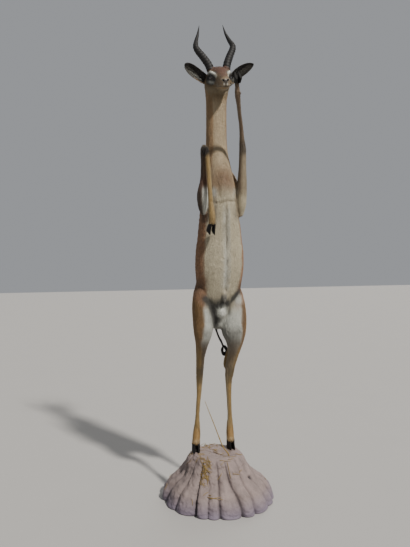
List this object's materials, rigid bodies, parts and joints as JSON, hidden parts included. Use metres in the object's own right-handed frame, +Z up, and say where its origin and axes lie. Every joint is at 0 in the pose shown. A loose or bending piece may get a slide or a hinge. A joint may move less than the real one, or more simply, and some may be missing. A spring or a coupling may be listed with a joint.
{
  "type": "gerenuk on a display mound",
  "caption": "Life-size gerenuk ram, a long-necked antelope, standing upright on its hind legs on a lobed display mound, one foreleg folded and one raised beside the face.",
  "frame": {"origin": "middle of the mound's flat underside, on the floor", "axes": "+Z up, -Y the side the belly faces, +X the animal's left"},
  "size_m": [0.597, 0.6141, 2.5533],
  "materials": {
    "coat": "short tan-brown hair",
    "eye": "wet gloss, near black",
    "horn": "ringed, near-black keratin",
    "tail_hair": "black hair",
    "hoof": "dark keratin",
    "mound": "dull pinkish grey cast surface",
    "straw": "dry straw"
  },
  "bodies": {
    "root": {"torso": "coat", "neck": "coat", "head": "coat", "hindleg_left": "coat", "hindleg_right": "coat", "foreleg_left": "coat", "foreleg_right": "coat", "ear_left": "coat", "ear_right": "coat", "eye_left": "eye", "eye_right": "eye", "horn_left": "horn", "horn_right": "horn", "tail": "tail_hair", "claw_hind_left_inner": "hoof", "claw_hind_left_outer": "hoof", "claw_hind_right_inner": "hoof", "claw_hind_right_outer": "hoof", "claw_fore_left_inner": "hoof", "claw_fore_left_outer": "hoof", "claw_fore_right_inner": "hoof", "claw_fore_right_outer": "hoof", "base_mound": "mound", "straw_stalk": "straw"}
  },
  "joints": []
}
